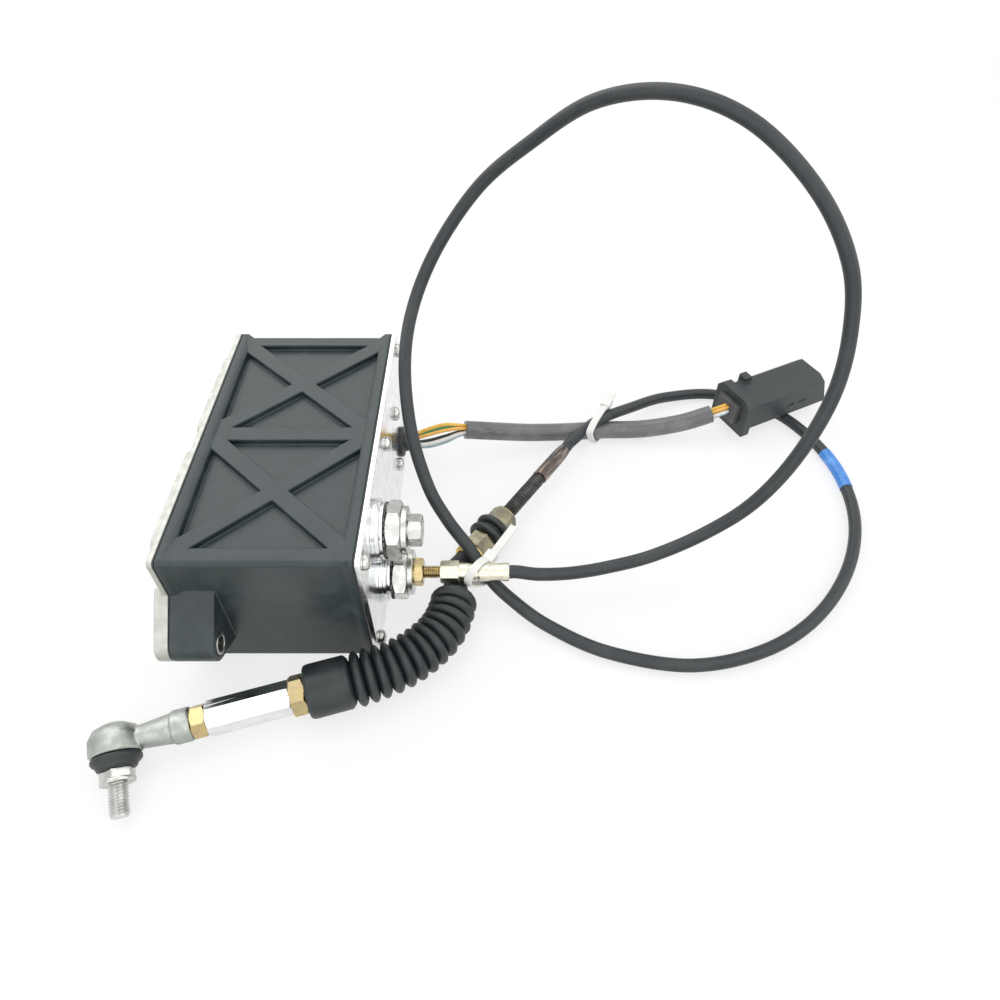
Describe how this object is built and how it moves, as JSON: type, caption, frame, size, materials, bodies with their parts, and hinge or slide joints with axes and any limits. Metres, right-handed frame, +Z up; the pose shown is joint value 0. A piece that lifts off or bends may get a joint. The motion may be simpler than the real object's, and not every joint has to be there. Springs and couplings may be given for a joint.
{
  "type": "engine governor actuator",
  "caption": "Motor-driven governor actuator in a ribbed cast case with a bushed push-pull cable, a rubber bellows and ball-joint link at its far end, and a sleeved harness with a plug.",
  "frame": {"origin": "middle of the casting's flat base", "axes": "+X from the side cover to the face plate with the cable ports, +Y along the casting away from the end the link lies at, +Z up from the base"},
  "size_m": [0.3725, 0.2757, 0.2034],
  "materials": {
    "cast_dark": "satin",
    "gasket_rubber": "matt",
    "cast_aluminium": "as cast",
    "zinc_steel": "zinc plated",
    "bright_zinc": "bright zinc plated",
    "dark_steel": "black oxide",
    "yellow_zinc": "yellow passivated",
    "pale_zinc": "pale yellow passivated",
    "olive_zinc": "olive passivated",
    "black_rubber": "semi matt",
    "seal_rubber": "matt",
    "wire_insulation": "smooth",
    "grey_pvc": "smooth",
    "black_plastic": "fine texture",
    "wedge_plastic": "smooth",
    "contact_metal": "tinned",
    "black_pvc": "smooth",
    "blue_tape": "smooth",
    "shrink_tube": "worn",
    "brass_collar": "turned",
    "spring_steel": "drawn",
    "cast_rod_end": "blasted",
    "white_nylon": "smooth",
    "motor_steel": "plated",
    "gear_brass": "machined",
    "gear_steel": "hobbed",
    "sensor_plastic": "smooth"
  },
  "bodies": {
    "base": {"housing": "cast_dark", "cover_gasket": "gasket_rubber", "side_cover": "cast_aluminium", "cover_screws": "zinc_steel", "plate_gasket": "gasket_rubber", "face_plate": "bright_zinc", "plate_screws": "zinc_steel", "frame_screws": "zinc_steel", "lug_bushings": "zinc_steel", "port_bushes": "bright_zinc", "port_washers": "bright_zinc", "tooth_washers": "dark_steel", "port_nuts": "zinc_steel", "seal_washers": "zinc_steel", "plug_bolt": "zinc_steel", "jam_nut": "yellow_zinc", "cable_end_tube": "yellow_zinc", "cable_ferrule": "pale_zinc", "wire_grommet": "black_rubber", "harness_wires": "wire_insulation", "harness_sleeve": "grey_pvc", "connector_body": "black_plastic", "connector_seal": "seal_rubber", "connector_wedge": "wedge_plastic", "connector_pins": "contact_metal", "cable_conduit": "black_pvc", "tape_band": "blue_tape", "end_sleeve": "shrink_tube", "end_hub": "dark_steel", "hub_nuts": "olive_zinc", "hub_grommet": "black_rubber", "hub_collar": "brass_collar", "bellows": "black_rubber", "ferrule_tie": "white_nylon", "harness_tie": "white_nylon", "gear_frame": "cast_aluminium", "motor_can": "motor_steel", "motor_cap": "black_plastic", "motor_screws": "zinc_steel", "idler_pin": "spring_steel", "shaft_bushes": "gear_brass", "position_sensor": "sensor_plastic"},
    "output": {"output_gear": "gear_steel", "output_shaft": "spring_steel", "rack_pinion": "gear_steel"},
    "idler": {"idler_gear": "gear_steel"},
    "motor_rotor": {"motor_pinion": "gear_brass"},
    "rack": {"drive_rack": "gear_steel", "drive_core_wire": "spring_steel"},
    "rod": {"inner_locknut": "yellow_zinc", "link_rod": "bright_zinc", "outer_locknut": "yellow_zinc", "rod_end": "cast_rod_end", "end_core_wire": "spring_steel"},
    "boot": {"stud_boot": "black_rubber"},
    "stud": {"ball_stud": "zinc_steel"}
  },
  "joints": [
    {"name": "output_spin", "type": "hinge", "parent": "base", "child": "output", "pos_m": [0, -0.045, 0.0375], "axis": [0, 1, 0], "range_deg": [-55, 55]},
    {"name": "idler_spin", "type": "hinge", "parent": "base", "child": "idler", "pos_m": [-0.01912, -0.02, 0.0375], "axis": [0, 1, 0], "range_deg": [-112, 112]},
    {"name": "motor_spin", "type": "hinge", "parent": "base", "child": "motor_rotor", "pos_m": [0, -0.01, 0.0375], "axis": [0, 1, 0], "range_deg": [-223, 223]},
    {"name": "rack_slide", "type": "slide", "parent": "base", "child": "rack", "axis": [1, 0, 0], "range_m": [-0.0131, 0.0131]},
    {"name": "rod_slide", "type": "slide", "parent": "base", "child": "rod", "axis": [-0.9563, -0.2924, 0], "range_m": [-0.0131, 0.0131], "deforming": ["bellows", "end_core_wire"]},
    {"name": "stud_tilt", "type": "hinge", "parent": "rod", "child": "boot", "pos_m": [-0.0605, -0.12639, 0.0125], "axis": [-0.9563, -0.2924, 0], "range_deg": [-12, 12], "deforming": ["stud_boot"]},
    {"name": "stud_spin", "type": "hinge", "parent": "boot", "child": "stud", "pos_m": [-0.0605, -0.12639, 0.0125], "axis": [0.2824, -0.9237, -0.2588], "continuous": true}
  ],
  "couplings": [
    {"joint": "idler_spin", "follows": "output_spin", "ratio": -2},
    {"joint": "motor_spin", "follows": "output_spin", "ratio": 4},
    {"joint": "rack_slide", "follows": "output_spin", "m_per_rad": -0.0135},
    {"joint": "rod_slide", "follows": "output_spin", "m_per_rad": -0.0135}
  ]
}
